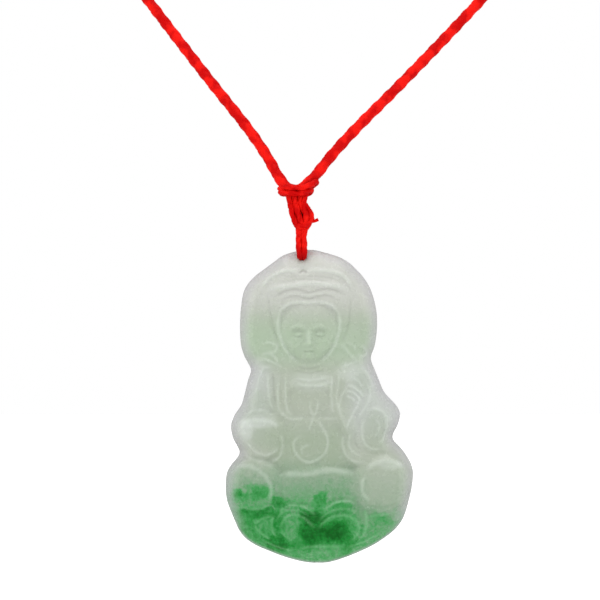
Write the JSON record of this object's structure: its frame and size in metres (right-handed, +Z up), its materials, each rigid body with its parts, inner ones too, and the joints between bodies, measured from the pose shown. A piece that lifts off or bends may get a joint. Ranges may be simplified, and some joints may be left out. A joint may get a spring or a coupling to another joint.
{
  "type": "jade guanyin pendant necklace",
  "caption": "Carved jade seated guanyin pendant on a knotted red thread loop, hanging from a closed loop of red braided neck cord that keeps its worn form.",
  "frame": {"origin": "where the necklace rests on the nape: the inner side of the knot behind the neck, half way along it", "axes": "+Z up as worn, +X to the right in the picture, -Y to the front, where the pendant hangs"},
  "size_m": [0.1492, 0.1495, 0.2374],
  "materials": {
    "jade": "polished, translucent, pale grey-green with emerald patches at the foot",
    "red_thread": "twisted red thread",
    "red_braid": "round red braid"
  },
  "bodies": {
    "cord": {"neck_cord": "red_braid", "nape_knot": "red_braid", "cord_hitch": "red_thread", "loop_knot": "red_thread", "pendant_loop": "red_thread"},
    "pendant": {"jade_pendant": "jade"}
  },
  "joints": [
    {"name": "pendant_swing", "type": "hinge", "parent": "cord", "child": "pendant", "pos_m": [0.0008, -0.139, -0.1866], "axis": [0, 1, 0], "range_deg": [-30, 30]}
  ]
}
